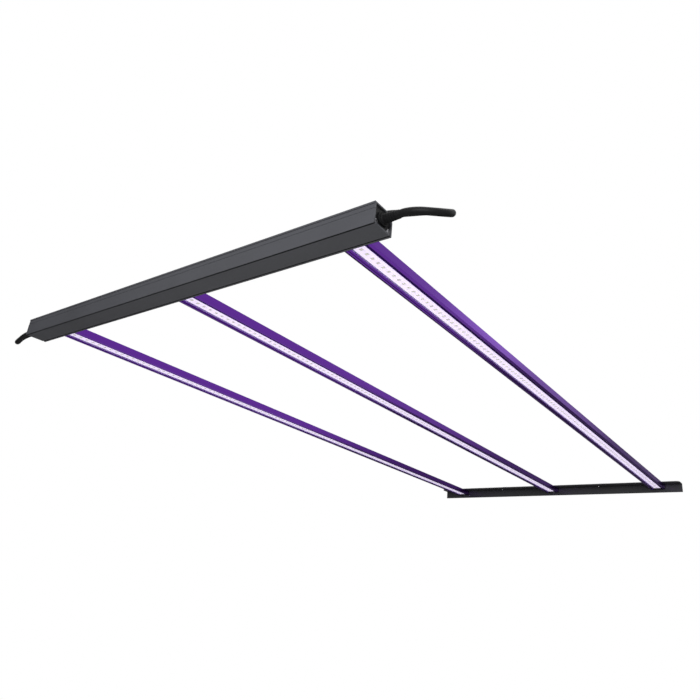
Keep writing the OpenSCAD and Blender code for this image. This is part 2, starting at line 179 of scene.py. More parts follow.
def mirrored(piece, name):  # the left twin of a right piece
    return copied(piece, Matrix.Scale(-1, 4, (1, 0, 0)), name)


def removed(piece):
    bpy.data.objects.remove(piece)


def extruded(move):
    bpy.ops.mesh.extrude_region_move(TRANSFORM_OT_translate={"value": tuple(move)})


def merged():  # all corners that lie on each other
    bpy.ops.mesh.select_all(action="SELECT")
    bpy.ops.mesh.remove_doubles(threshold=weld)


def sealed():  # merges doubles and turns all faces outwards, then leaves edit mode
    merged()
    bpy.ops.mesh.normals_make_consistent(inside=False)
    leaveEdit()


def turned(name, start, axis, profile, sides=32):
    # a turned piece: an end disc, extruded and scaled from one (along, radius) to the next
    start, axis = Vector(start), Vector(axis)
    deselectAll()
    bpy.ops.mesh.primitive_circle_add(
        vertices=sides, radius=profile[0][1], fill_type="NGON",
        location=start + axis * profile[0][0], rotation=axis.to_track_quat("Z", "Y").to_euler())
    piece = added(name)
    applyPlace(piece)
    bpy.ops.object.mode_set(mode="EDIT")
    bpy.ops.mesh.select_all(action="SELECT")
    for (along, radius), (nextAlong, nextRadius) in zip(profile, profile[1:]):
        extruded(axis * (nextAlong - along))
        size = nextRadius / radius
        bpy.ops.transform.resize(value=(size, size, size),
                                 center_override=start + axis * nextAlong)
    sealed()
    return piece


def scaledProfile(profile):  # a profile in mm, as metres
    return [(along * mm, radius * mm) for along, radius in profile]


def fluted(piece, middle, span, sides, least, rim, depth):
    # grip flutes along X: every second side face within the span that lies further out
    # than the least radius is inset and sunk
    def everySecond(centre, normal):
        y, z = centre.y - middle[1], centre.z - middle[2]
        number = math.floor(math.atan2(z, y) / math.tau * sides)
        return (min(span) < centre.x < max(span) and abs(normal.x) < 0.1 and number % 2 == 0
                and math.hypot(y, z) > least)
    pick(piece, "FACE", everySecond)
    bpy.ops.mesh.inset(thickness=rim, depth=-depth, use_individual=True)
    leaveEdit()


def sunk(piece, cutter):  # cuts a recess and throws the cutter away
    recess = piece.modifiers.new("recess", "BOOLEAN")
    recess.object = cutter
    applyModifiers(piece)
    removed(cutter)


def done(piece, body, material, slot, *replaced):  # with no material it keeps its own
    if material is not None:
        piece.data.materials.clear()
        piece.data.materials.append(material)
    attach(piece, body)
    if replaced:
        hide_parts(*replaced)
    return piece


# helpers for materials

def startMaterial(name, colour, roughness, metallic=0, specular=0.5):
    material = bpy.data.materials.new(name)
    material.use_nodes = True
    tree = material.node_tree
    shader = tree.nodes["Principled BSDF"]
    shader.inputs["Base Color"].default_value = (*colour, 1)
    shader.inputs["Roughness"].default_value = roughness
    shader.inputs["Metallic"].default_value = metallic
    shader.inputs["Specular IOR Level"].default_value = specular
    return material, tree, shader


def noiseOn(tree, scale, detail=2, stretch=(1, 1, 1)):
    place = tree.nodes.new("ShaderNodeTexCoord")
    mapping = tree.nodes.new("ShaderNodeMapping")
    mapping.inputs["Scale"].default_value = stretch
    noise = tree.nodes.new("ShaderNodeTexNoise")
    noise.inputs["Scale"].default_value = scale
    noise.inputs["Detail"].default_value = detail
    tree.links.new(place.outputs["Object"], mapping.inputs["Vector"])
    tree.links.new(mapping.outputs["Vector"], noise.inputs["Vector"])
    return noise.outputs["Fac"]


def rampOn(tree, value, stops):  # stops: (position, colour or grey)
    ramp = tree.nodes.new("ShaderNodeValToRGB")
    elements = ramp.color_ramp.elements
    while len(elements) < len(stops):
        elements.new(0.5)
    for element, (position, tone) in zip(elements, stops):
        element.position = position
        element.color = (tone, tone, tone, 1) if isinstance(tone, (int, float)) else (*tone, 1)
    tree.links.new(value, ramp.inputs["Fac"])
    return ramp.outputs["Color"]


def scaled(colour, by):
    return tuple(min(1, channel * by) for channel in colour)


def shaded(tree, shader, value, colour, tones, between=(0.3, 0.7)):
    # the value darkens and lightens the colour
    stops = [(position, scaled(colour, tone)) for position, tone in zip(between, tones)]
    tree.links.new(rampOn(tree, value, stops), shader.inputs["Base Color"])


def glossed(tree, shader, value, roughness, swing, between=(0.3, 0.7)):
    # the value makes the surface glossier and duller
    stops = [(position, roughness + shift) for position, shift in zip(between, swing)]
    tree.links.new(rampOn(tree, value, stops), shader.inputs["Roughness"])


def bumpOn(tree, shader, height, strength, depth):  # depth in mm
    bump = tree.nodes.new("ShaderNodeBump")
    bump.inputs["Strength"].default_value = strength
    bump.inputs["Distance"].default_value = depth * mm
    tree.links.new(height, bump.inputs["Height"])
    tree.links.new(bump.outputs["Normal"], shader.inputs["Normal"])


def glowing(shader, colour, strength):
    shader.inputs["Emission Color"].default_value = (*colour, 1)
    shader.inputs["Emission Strength"].default_value = strength


# matt stoved powder: a fine orange peel, soft cloudiness and a slightly uneven gloss
powderLook = {"clouds": 14, "cloudTones": (0.9, 1.12), "grain": 900, "glossSwing": (-0.07, 0.07),
              "relief": 0.35, "depth": 0.05, "specular": 0.3}


def powderCoat(name, colour, roughness, s=powderLook):
    material, tree, shader = startMaterial(name, colour, roughness, specular=s["specular"])
    shaded(tree, shader, noiseOn(tree, s["clouds"], 4), colour, s["cloudTones"])
    grains = noiseOn(tree, s["grain"], 3)
    glossed(tree, shader, grains, roughness, s["glossSwing"])
    bumpOn(tree, shader, grains, s["relief"], s["depth"])
    return material


# extruded aluminium, dyed: fine drawing lines along the bar and a metallic depth
anodisedLook = {"metallic": 0.96, "sheen": (0.85, 0.75, 1),
                "lines": (2600, 5, 2600), "lineTones": (0.86, 1.14),
                "fineLines": (5200, 9, 5200), "glossSwing": (-0.06, 0.08),
                "relief": 0.25, "depth": 0.02}


def anodised(name, colour, roughness, s=anodisedLook):
    material, tree, shader = startMaterial(name, colour, roughness, s["metallic"])
    shader.inputs["Specular Tint"].default_value = (*s["sheen"], 1)
    lines = noiseOn(tree, 1, 3, s["lines"])
    shaded(tree, shader, lines, colour, s["lineTones"], (0.25, 0.75))
    glossed(tree, shader, noiseOn(tree, 1, 2, s["fineLines"]), roughness, s["glossSwing"])
    bumpOn(tree, shader, lines, s["relief"], s["depth"])
    return material


# moulded plastic or rubber with a spark-eroded grain
mouldedLook = {"grainTones": (0.8, 1.25), "patches": 60, "glossSwing": (-0.05, 0.08),
               "relief": 0.3}


def moulded(name, colour, roughness, grain=1500, depth=0.03, specular=0.45, paintedLight=0, s=mouldedLook):
    material, tree, shader = startMaterial(name, colour, roughness, specular=specular)
    # painted light: a faint white glow, where one is given, stands in for light falling on the part
    glowing(shader, (1, 1, 1), paintedLight)
    grains = noiseOn(tree, grain, 2)
    shaded(tree, shader, grains, colour, s["grainTones"])
    glossed(tree, shader, noiseOn(tree, s["patches"], 3), roughness, s["glossSwing"])
    bumpOn(tree, shader, grains, s["relief"], depth)
    return material


# plated or mill-finished metal: faint turned or rolled lines and a patchy sheen
platedLook = {"lineTones": (0.82, 1.1), "patches": 220, "glossSwing": (-0.08, 0.1),
              "relief": 0.2, "depth": 0.015}


def plated(name, colour, roughness, lines=(1400, 1400, 1400), s=platedLook):
    material, tree, shader = startMaterial(name, colour, roughness, 1)
    marks = noiseOn(tree, 1, 3, lines)
    shaded(tree, shader, marks, colour, s["lineTones"])
    glossed(tree, shader, noiseOn(tree, s["patches"], 3), roughness, s["glossSwing"])
    bumpOn(tree, shader, marks, s["relief"], s["depth"])
    return material


def barOffset(tree):  # distance from the middle of the nearest light bar, in metres
    place = tree.nodes.new("ShaderNodeTexCoord")
    split = tree.nodes.new("ShaderNodeSeparateXYZ")
    wrap = tree.nodes.new("ShaderNodeMath")
    wrap.operation = "WRAP"
    wrap.inputs[1].default_value = barPitch / 2 * mm
    wrap.inputs[2].default_value = -barPitch / 2 * mm
    distance = tree.nodes.new("ShaderNodeMath")
    distance.operation = "ABSOLUTE"
    tree.links.new(place.outputs["Object"], split.inputs["Vector"])
    tree.links.new(split.outputs["X"], wrap.inputs[0])
    tree.links.new(wrap.outputs[0], distance.inputs[0])
    return distance.outputs[0]


# white solder mask over copper: faint tracks, a soft mottle, and a faint painted glow that stands
# in for light falling on it
boardLook = {"roughness": 0.42, "glow": 0.54, "mottle": 700, "relief": 0.2, "depth": 0.01,
             # the tracks: distance from the board's middle in mm, and tone, up to the reach
             "reach": 10, "tracks": [(0, 0.9), (1.6, 0.9), (2, 1), (4.4, 1), (4.6, 0.9),
                                     (5.2, 0.9), (5.4, 1)]}


def whiteMask(name, colour, light, s=boardLook):
    material, tree, shader = startMaterial(name, colour, s["roughness"])
    spread = tree.nodes.new("ShaderNodeMath")
    spread.operation = "MULTIPLY"
    spread.inputs[1].default_value = 1 / (s["reach"] * mm)
    tree.links.new(barOffset(tree), spread.inputs[0])
    tracks = [(at / s["reach"], scaled(colour, tone)) for at, tone in s["tracks"]]
    tree.links.new(rampOn(tree, spread.outputs[0], tracks), shader.inputs["Base Color"])
    # painted light: the board glows faintly in place of light falling on it
    glowing(shader, light, s["glow"])
    bumpOn(tree, shader, noiseOn(tree, s["mottle"]), s["relief"], s["depth"])
    return material


# clear extruded plastic, thin enough that only its gloss and a slight tint show
lensLook = {"roughness": 0.12, "alpha": 0.1, "lines": (1500, 6, 1500), "glossSwing": (-0.04, 0.08)}


def clearCover(name, colour, s=lensLook):
    material, tree, shader = startMaterial(name, colour, s["roughness"])
    shader.inputs["Alpha"].default_value = s["alpha"]
    glossed(tree, shader, noiseOn(tree, 1, 2, s["lines"]), s["roughness"], s["glossSwing"])
    return material


tones = {"anthracite": (0.034, 0.035, 0.041), "railBlack": (0.012, 0.012, 0.014),
         "plastic": (0.005, 0.005, 0.0055), "rubber": (0.004, 0.004, 0.0044),
         "violet": (0.104, 0.024, 0.27), "board": (0.82, 0.73, 0.92),
         "boardLight": (0.86, 0.76, 1), "lens": (0.9, 0.86, 1),
         "steel": (0.62, 0.63, 0.65), "dullSteel": (0.15, 0.15, 0.16),
         "blackSteel": (0.05, 0.05, 0.055), "mill": (0.6, 0.6, 0.62),
         "circuitBoard": (0.03, 0.16, 0.07), "tape": (0.75, 0.6, 0.1),
         "canSleeve": (0.1, 0.1, 0.3), "terminals": (0.05, 0.3, 0.1),
         "ledBody": (0.7, 0.69, 0.64), "phosphor": (0.62, 0.58, 0.44),
         "redChip": (0.52, 0.42, 0.4)}
anthracite = powderCoat("anthracite_coating", tones["anthracite"], roughness=0.46)
railCoat = powderCoat("black_coating", tones["railBlack"], roughness=0.42)
plastic = moulded("black_plastic", tones["plastic"], roughness=0.45, specular=0.1)
rubber = moulded("black_rubber", tones["rubber"], roughness=0.6, grain=900, depth=0.04,
                 specular=0.07)
cordRubber = moulded("cord_rubber", tones["rubber"], roughness=0.5, grain=600, specular=0.08)
dullZinc = plated("dull_steel", tones["dullSteel"], roughness=0.42)
zinc = plated("steel", tones["steel"], roughness=0.24)
blackSteel = plated("black_steel", tones["blackSteel"], roughness=0.35)
violet = anodised("violet_anodised", tones["violet"], roughness=0.2)
board = whiteMask("white_board", tones["board"], tones["boardLight"])
cover = clearCover("clear_lens", tones["lens"])
greenMask = moulded("circuit_board", tones["circuitBoard"], roughness=0.35, grain=500, depth=0.02)
tape = moulded("transformer_tape", tones["tape"], roughness=0.3, grain=300, depth=0.02)
canSleeve = plated("can_aluminium", tones["canSleeve"], roughness=0.3)
mill = plated("plain_aluminium", tones["mill"], roughness=0.35, lines=(1600, 8, 1600))
greenPlastic = moulded("green_plastic", tones["terminals"], roughness=0.35)
# the LED packages' faint glow is painted light, standing in for light falling on them
ceramic = moulded("led_body", tones["ledBody"], roughness=0.4, grain=2500, depth=0.01, paintedLight=0.13)
phosphor = moulded("led_phosphor", tones["phosphor"], roughness=0.35, grain=4000, depth=0.02,
                   paintedLight=0.15)
redChip = moulded("led_red", tones["redChip"], roughness=0.2, grain=4000, depth=0.01, paintedLight=0.13)
print("materials made")

# round connectors: the right one, along -X, with lengths in mm from where the cord goes in
connector = {"start": (196 * mm, -562 * mm, 28 * mm), "sides": 40,
             # turned profiles: along, radius
             "nut": [(0, 4.1), (0.6, 4.4), (4.6, 5.5), (5.2, 5.9), (13.2, 5.9), (13.7, 5.4),
                     (14, 5.2)],
             "body": [(14, 5.7), (14.4, 6.3), (15, 6.5), (21, 6.5), (21.3, 6.1), (23.2, 6.1),
                      (23.5, 6.5), (39.3, 6.5), (40, 6), (40, 5), (42, 5), (42.4, 4.6),
                      (43.4, 4.6), (43.8, 5), (45.4, 5), (45.8, 4.6), (46.8, 4.6), (47.2, 5),
                      (48.8, 5), (49.2, 4.6), (50.2, 4.6), (50.6, 5), (52.6, 5), (53, 4.6),
                      (53, 3.6), (46, 3.4)],
             "cap": [(56.3, 5.2), (56.1, 5.9), (55.4, 6.3), (41, 6.3), (40.3, 5.9),
                     (40.3, 5.15), (53.2, 5.15)],
             # grips: from, to, least radius, rim, depth
             "grips": {"nut": (5.2, 13.2, 5, 0.15, 0.35), "body": (23.5, 39.3, 6, 0.18, 0.3),
                       "cap": (41, 55.4, 6, 0.18, 0.3)},
             "pin": [(45, 0.75), (51, 0.75), (51.6, 0.5)], "pinSides": 12, "pins": 3,
             "pinCircle": 1.6, "edge": 0.08, "edgeAngle": 40, "smoothAngle": 38}


def gripped(c, part, name):  # one turned part of the connector, with its grip flutes
    piece = turned(name, c["start"], (-1, 0, 0), scaledProfile(c[part]), c["sides"])
    low, high, least, rim, depth = c["grips"][part]
    span = (c["start"][0] - low * mm, c["start"][0] - high * mm)
    fluted(piece, c["start"], span, c["sides"], least * mm, rim * mm, depth * mm)
    return piece


def contactPin(c, number):
    angle, away = math.radians(90 + 360 / c["pins"] * number), c["pinCircle"] * mm
    x, y, z = c["start"]
    pin = turned("pin_%d" % number, (x, y + away * math.cos(angle), z + away * math.sin(angle)),
                 (-1, 0, 0), scaledProfile(c["pin"]), c["pinSides"])
    pin.data.materials.append(zinc)
    return pin


def makeConnector(c):
    nut = gripped(c, "nut", "nut_right")
    body = gripped(c, "body", "plug_right")
    body.data.materials.append(plastic)
    body = joined("plug_right", [body] + [contactPin(c, number) for number in range(c["pins"])])
    cap = gripped(c, "cap", "cap_right")
    for piece in (nut, body, cap):
        roundEdges(piece, c["edge"] * mm, 1, c["edgeAngle"])
        smooth(piece, c["smoothAngle"])
    return nut, body, cap


connectorPieces = {"right": makeConnector(connector)}
connectorPieces["left"] = [mirrored(piece, piece.name.replace("right", "left"))
                           for piece in connectorPieces["right"]]
for side, (nut, body, cap) in connectorPieces.items():
    done(nut, "fixture", rubber, "black_rubber", "connector_nut_" + side)
    done(body, "fixture", None, "black_plastic", "connector_" + side)
    done(cap, "connector_cap_" + side, rubber, "black_rubber", "connector_cap_" + side)
print("connectors made")

# cords, from the outlet to the connector; the routes' points are in mm: x, distance behind
# the driver bar's outer face, z
cordSettings = {"diameter": 7 * mm, "exitX": 291.5 * mm, "exitY": -566.5 * mm, "exitZ": 10.75 * mm,
                "rightLength": 0.203, "leftLength": 0.256, "fineness": 6}
rightRoute = [(291.5, 13.5, 10.75), (296.5, 13.5, 10.75), (306.7, 16.3, 10.4),
              (315.2, 22.9, 10.9), (320.7, 31.8, 13.5), (322.2, 41.3, 18.1), (319.8, 49.9, 23.9),
              (313.9, 56.3, 29.9), (305.5, 59.6, 35.3), (296, 60.1, 39.5), (285.9, 58.5, 41.6),
              (276.1, 55.1, 41.9), (266.9, 50.2, 41), (258.6, 44.3, 39.4), (250.2, 38.6, 36.9),
              (241.5, 33.4, 34.2), (232.8, 28, 31.8), (223.5, 23.5, 29.9), (213.8, 19.9, 28.5),
              (203.5, 18, 28), (196, 18, 28)]
leftRoute = [(-291.5, 13.5, 10.75), (-297.5, 13.5, 10.75), (-308.5, 13.1, 8.8), (-319.4, 14, 6),
             (-330.7, 16.9, 6.2), (-340.6, 21.4, 10.5), (-347.3, 27.6, 18.2), (-349.3, 36, 27.2),
             (-346, 45.6, 35), (-337.6, 53.8, 40.7), (-325.9, 58.8, 43.7), (-313, 60, 44.3),
             (-300.5, 57.5, 44.1), (-288.6, 53.3, 43.8), (-276.6, 49.9, 42.4),
             (-265.1, 45.7, 40.1), (-254.2, 40.6, 37.3), (-243.8, 35.1, 34.5),
             (-234.2, 28.9, 31.7), (-224.5, 23.3, 29.5), (-214.4, 19.7, 28.3), (-204, 18, 28),
             (-196, 18, 28)]


def layCord(name, route, s):  # one smooth curve through the route's points
    curve = bpy.data.curves.new(name, "CURVE")
    curve.dimensions = "3D"
    curve.bevel_depth = s["diameter"] / 2
    curve.bevel_resolution = curve.resolution_u = s["fineness"]
    curve.use_fill_caps = True
    spline = curve.splines.new("BEZIER")
    spline.bezier_points.add(len(route) - 1)
    for point, (x, y, z) in zip(spline.bezier_points, route):
        point.co = (x * mm, (nearY + y) * mm, z * mm)
        point.handle_left_type = point.handle_right_type = "AUTO"
    piece = bpy.data.objects.new(name, curve)
    bpy.context.scene.collection.objects.link(piece)
    curve.materials.append(cordRubber)
    return piece


for side, route, sign in (("right", rightRoute, 1), ("left", leftRoute, -1)):
    flex = layCord("flex_" + side, route, cordSettings)
    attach(flex, "fixture")
    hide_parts("cord_" + side)
print("cords laid")

# a finish for every CAD node, by the start of its name; the longest start that fits counts
finishes = {"driver_body": anthracite, "driver_cover": anthracite, "end_rail": railCoat,
            "end_cap": plastic, "gland": rubber, "driver_board": greenMask, "transformer": tape,
            "capacitors": canSleeve, "switch_heatsink": mill, "terminal_block": greenPlastic,
            "lamp_socket": plastic, "socket_screws": zinc, "bar_plug": plastic,
            "bar_profile": violet, "led_board": board, "bar_lens": cover, "bar_end_cap": plastic,
            "rail_screws": blackSteel, "ring_lug": zinc, "lug_screws": zinc, "hang_ring": zinc,
            "cord": cordRubber, "end_cap_screws": zinc, "connector": plastic,
            "connector_nut": rubber, "connector_cap": rubber}


def finishNodes(table):
    for name, node in nodes.items():
        family = max((key for key in table if name.startswith(key)), key=len)
        node.data.materials.clear()
        node.data.materials.append(table[family])


finishNodes(finishes)

# folded, moulded and extruded parts, dressed with eased edges
# CAD node family: name of its dressed piece, width of the eased edges in mm, material slot
easedParts = {"driver_body": ("case", 0.15, "anthracite_coating"),
              "driver_cover": ("lid", 0.15, "anthracite_coating"),
              "end_cap_right": ("case_end_right", 0.3, "black_plastic"),
              "end_cap_left": ("case_end_left", 0.3, "black_plastic"),
              "lamp_socket": ("socket", 0.35, "black_plastic"),
              "bar_profile": ("extrusion", 0.18, "violet_anodised"),
              "bar_end_cap": ("bar_tip", 0.4, "black_plastic"),
              "end_rail": ("rail", 0.35, "black_coating"),
              "ring_lug": ("lug", 0.35, "steel")}
# angles in degrees: flatter joints between faces vanish, sharper edges are eased
edgeSettings = {"flatWithin": 0.5, "segments": 2, "edgeAngle": 20, "smoothAngle": 25}
# the long grooves under the case, painted dark with the black coating as painted shade: how far
# behind its outer face, and how high
grooveShadePaint = {"bands": [(0.4, 2.0), (23.5, 24.9)], "bottom": 0.01, "top": 1.2}
# the groove along each inner slope of a light bar
slopeGroove = {"margin": 1.3, "depth": 0.9, "leastLean": 0.15}


def grooved(piece, s):
    middle = sum(corner[0] for corner in piece.bound_box) / 8

    def innerSlope(centre, normal):
        lean = normal.x * math.copysign(1, middle - centre.x)
        return facesDown(centre, normal) and lean > s["leastLean"]
    pick(piece, "FACE", innerSlope)
    bpy.ops.mesh.inset(thickness=s["margin"] * mm)
    extruded((0, 0, s["depth"] * mm))
    leaveEdit()


def eased(node, name, width, s):
    piece = bpy.data.objects.new(name, nodes[node].data.copy())
    bpy.context.scene.collection.objects.link(piece)
    activate(piece)
    bpy.ops.object.mode_set(mode="EDIT")
    merged()
    bpy.ops.mesh.dissolve_limited(angle_limit=math.radians(s["flatWithin"]))
    leaveEdit()
    if name.startswith("extrusion"):
        grooved(piece, slopeGroove)
    roundEdges(piece, width * mm, s["segments"], s["edgeAngle"])
    smooth(piece, s["smoothAngle"])
    return piece


def paintShadeInGrooves(piece, s):
    # painted shade: the groove faces take the black coating in place of the shadow inside them
    piece.data.materials.append(railCoat)

    def inGroove(centre, normal):
        behind, height = centre.y / mm - nearY, centre.z / mm
        return (s["bottom"] < height < s["top"]
                and any(low < behind < high for low, high in s["bands"]))
    pick(piece, "FACE", inGroove)
    piece.active_material_index = 1
    bpy.ops.object.material_slot_assign()
    leaveEdit()


for family, (pieceName, width, slot) in easedParts.items():
    for node in [name for name in nodes if name.startswith(family)]:
        part = eased(node, pieceName + node[len(family):], width, edgeSettings)
        done(part, nodes[node]["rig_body"], part.data.materials[0], slot, node)
        if node == "driver_body":
            paintShadeInGrooves(part, grooveShadePaint)
print("edges eased")

# LEDs, in mm: a group of packages is modelled once and repeated along the board
leds = {"pitch": 9.2, "first": -538, "count": 121, "group": 11, "redEvery": 4, "boardZ": 8.7,
        "length": 3.4, "width": 4.0, "height": 0.35, "rim": 0.35, "slope": 0.12, "depth": 0.12}


def ledPackage(s, y, well):  # one small package under the board, its window facing down
    deselectAll()
    bpy.ops.mesh.primitive_cube_add(
        size=mm, location=(0, y * mm, (s["boardZ"] - s["height"] / 2) * mm))
    piece = added("led")
    piece.scale = (s["width"], s["length"], s["height"])
    applyPlace(piece)
    for material in (ceramic, well):
        piece.data.materials.append(material)
    pick(piece, "FACE", facesDown)
    bpy.ops.mesh.inset(thickness=s["rim"] * mm)
    bpy.ops.mesh.inset(thickness=s["slope"] * mm, depth=-s["depth"] * mm)
    piece.active_material_index = 1
    bpy.ops.object.material_slot_assign()
    leaveEdit()
    return piece


def ledRow(s):
    packages = [ledPackage(s, s["first"] + number * s["pitch"],
                           phosphor if (number + 1) % s["redEvery"] else redChip)
                for number in range(s["group"])]
    row = joined("led_row", packages)
    repeat = row.modifiers.new("repeat", "ARRAY")
    repeat.use_relative_offset, repeat.use_constant_offset = False, True
    repeat.constant_offset_displace = (0, s["group"] * s["pitch"] * mm, 0)
    repeat.count = s["count"] // s["group"]
    applyModifiers(row)
    return row


modelRow = ledRow(leds)
for place, x in barXs.items():
    row = copied(modelRow, Matrix.Translation((x * mm, 0, 0)), "leds_" + place)
    done(row, "fixture", None, "white_board")
removed(modelRow)
print("LEDs placed")

# cord outlets, in mm: an oval pad on the end cap, a neck through it and a ribbed boot
outlet = {"capX": 273.5, "y": -566.5, "z": 10.75, "padHeight": 12, "padWidth": 15, "padThick": 2,
          "padSides": 48, "padEdge": 0.5, "neckRadius": 4, "neckLength": 4, "neckInPad": 0.5,
          "bootLength": 16, "bootRadius": 4.7, "tipRadius": 3.8,
          # the boot's two ends, counted from its root and radius, and from its tip and radius
          "root": [(-0.3, 0.5), (0.5, 0)], "tip": [(-0.4, 0.02), (0, -0.25)],
          # a groove behind each rib: along, and share of the ribs' depth
          "ribs": 5, "ribPitch": 2.5, "ribDepth": 0.55,
          "ribSteps": [(1.2, 0), (1.5, 1), (2.2, 1), (2.5, 0)], "smoothAngle": 40}


def ovalPad(s, start):  # a disc whose two halves are moved apart
    radius = s["padHeight"] / 2 * mm
    pad = turned("outlet_right", start, (1, 0, 0), [(0, radius), (s["padThick"] * mm, radius)],
                 s["padSides"])
    shift = (s["padWidth"] - s["padHeight"]) / 2 * mm
    for way in (1, -1):
        pick(pad, "VERT", lambda place: (place.y - start[1]) * way > 0.1 * mm)
        bpy.ops.transform.translate(value=(0, way * shift, 0))
    leaveEdit()
    roundEdges(pad, s["padEdge"] * mm, 3)
    return pad


def bootProfile(s):
    face, taper = s["padThick"], (s["bootRadius"] - s["tipRadius"]) / s["bootLength"]
    profile = [(face + along, s["bootRadius"] + more) for along, more in s["root"]]
    for rib in range(s["ribs"]):
        for along, share in s["ribSteps"]:
            at = rib * s["ribPitch"] + along
            profile.append((face + at, s["bootRadius"] - taper * at - s["ribDepth"] * share))
    return profile + [(face + s["bootLength"] + along, s["tipRadius"] + more)
                      for along, more in s["tip"]]


def makeOutlet(s):
    start = (s["capX"] * mm, s["y"] * mm, s["z"] * mm)
    pad = ovalPad(s, start)
    neck = turned("neck", start, (-1, 0, 0), scaledProfile(
        [(-s["neckInPad"], s["neckRadius"]), (s["neckLength"], s["neckRadius"])]))
    boot = turned("boot", start, (1, 0, 0), scaledProfile(bootProfile(s)))
    piece = joined("outlet_right", [pad, neck, boot])
    smooth(piece, s["smoothAngle"])
    return piece


rightOutlet = makeOutlet(outlet)
leftOutlet = mirrored(rightOutlet, "outlet_left")
done(rightOutlet, "fixture", rubber, "black_rubber", "gland_right")
done(leftOutlet, "fixture", rubber, "black_rubber", "gland_left")
print("cord outlets made")

# hanging rings of bent wire, in mm; driver and rail: y, and height of the face under the lug
wireRings = {"wire": 2.5, "radius": 5.75, "leg": 9, "bend": 1.9, "x": 116, "aboveFace": 1.9,
             "driver": (-566.5, 21.5), "rail": (572, 18.2),
             "wireSides": 20, "cornerSteps": 6, "endSteps": 20, "smoothAngle": 60}


def wireRing(s, name, x, y, face):
    # the wire's end circle is drawn round the ring: rod, corner, leg, round end, leg, corner, rod
    radius, leg, bend = s["radius"] * mm, s["leg"] * mm, s["bend"] * mm
    x, y, z = x * mm, y * mm, (face + s["aboveFace"]) * mm
    deselectAll()
    bpy.ops.mesh.primitive_circle_add(vertices=s["wireSides"], radius=s["wire"] / 2 * mm,
                                      location=(x, y, z), rotation=(math.pi / 2, 0, 0))
    piece = added(name)
    applyPlace(piece)
    bpy.ops.object.mode_set(mode="EDIT")
    bpy.ops.mesh.select_all(action="SELECT")

    def bent(steps, angle, centreX, centreY):
        bpy.ops.mesh.spin(steps=steps, angle=math.radians(angle), center=(centreX, centreY, z),
                          axis=(0, 0, 1))
    extruded((0, radius - bend, 0))
    bent(s["cornerSteps"], 90, x + bend, y + radius - bend)
    extruded((leg - bend, 0, 0))
    bent(s["endSteps"], 180, x + leg, y)
    extruded((bend - leg, 0, 0))
    bent(s["cornerSteps"], 90, x + bend, y - radius + bend)
    extruded((0, radius - bend, 0))
    sealed()
    smooth(piece, s["smoothAngle"])
    return piece


for carrier in ("driver", "rail"):
    for side, sign in (("right", 1), ("left", -1)):
        name = carrier + "_" + side
        ring = wireRing(wireRings, "ring_" + name, sign * wireRings["x"], *wireRings[carrier])
        done(ring, "hang_ring_" + name, zinc, "steel", "hang_ring_" + name)
print("rings bent")

# screws, in mm: head radius, head height, shank radius, shank length, recess
screwKinds = {"end_cap": (2.2, 1.2, 1.25, 12, "slot"), "socket": (2.4, 1.4, 1.25, 4, "cross"),
              "rail": (2.6, 1.2, 1.25, 7.2, "hex"), "lug": (2.3, 1.2, 1.25, 4, "cross")}
# crown: shares of the head's height and radius; point: its length, and share of the radius
screwShape = {"crown": [(0, 1), (0.45, 1), (0.75, 0.92), (0.93, 0.78), (1, 0.6)],
              "point": (0.6, 0.7), "smoothAngle": 35}
# size and depth are shares of the head's radius and height, and the other shares are of those
recesses = {"size": 1.2, "depth": 0.6, "hexRadius": 0.45, "taper": 0.75,
            "cross": {"cuts": 2, "wide": 0.5, "long": 1, "deep": 1},
            "slot": {"cuts": 1, "wide": 0.55, "long": 3, "deep": 0.8}}


def hexRecess(screw, radius, depth, top):
    bpy.ops.mesh.primitive_cylinder_add(vertices=6, radius=radius, depth=2 * depth,
                                        location=(0, 0, top))
    cutter = added("cutter")
    applyPlace(cutter)
    sunk(screw, cutter)


def straightRecess(screw, cut, size, depth, top):  # a slot, or the two cuts of a cross
    wide, length, deep = cut["wide"] * mm, size * cut["long"], depth * cut["deep"]
    for turn in range(cut["cuts"]):
        bpy.ops.mesh.primitive_cube_add(size=1, location=(0, 0, top))
        cutter = added("cutter")
        cutter.scale = (wide, length, 2 * deep) if turn else (length, wide, 2 * deep)
        applyPlace(cutter)
        pick(cutter, "FACE", facesDown)
        bpy.ops.transform.resize(value=(recesses["taper"], recesses["taper"], 1),
                                 center_override=(0, 0, top - deep))
        leaveEdit()
        sunk(screw, cutter)


def makeScrew(s, headRadius, headHeight, shankRadius, shankLength, recess):
    # a pan head standing on z = 0 with its shank below
    point, narrow = s["point"]
    shank = [(-shankLength, shankRadius * narrow), (point - shankLength, shankRadius),
             (0, shankRadius)]
    crown = [(headHeight * up, headRadius * out) for up, out in s["crown"]]
    screw = turned("model", (0, 0, 0), (0, 0, 1), scaledProfile(shank + crown))
    size = headRadius * recesses["size"] * mm
    depth, top = headHeight * recesses["depth"] * mm, headHeight * mm
    if recess == "hex":
        hexRecess(screw, size * recesses["hexRadius"], depth, top)
    else:
        straightRecess(screw, recesses[recess], size, depth, top)
    smooth(screw, s["smoothAngle"])
    return screw


def screwSet(name, kind, spots, replaced, material, slot):
    # spots: where each head stands, the way it points, and its own turn in degrees
    model = makeScrew(screwShape, *screwKinds[kind])
    screws = []
    for number, (place, way, turn) in enumerate(spots):
        facing = Vector(way).to_track_quat("Z", "Y").to_matrix().to_4x4()
        twist = Matrix.Rotation(math.radians(turn), 4, "Z")
        spot = Matrix.Translation(Vector(place) * mm) @ facing @ twist
        screws.append(copied(model, spot, "screw_%d" % number))
    removed(model)
    return done(joined(name, screws), "fixture", material, slot, replaced)


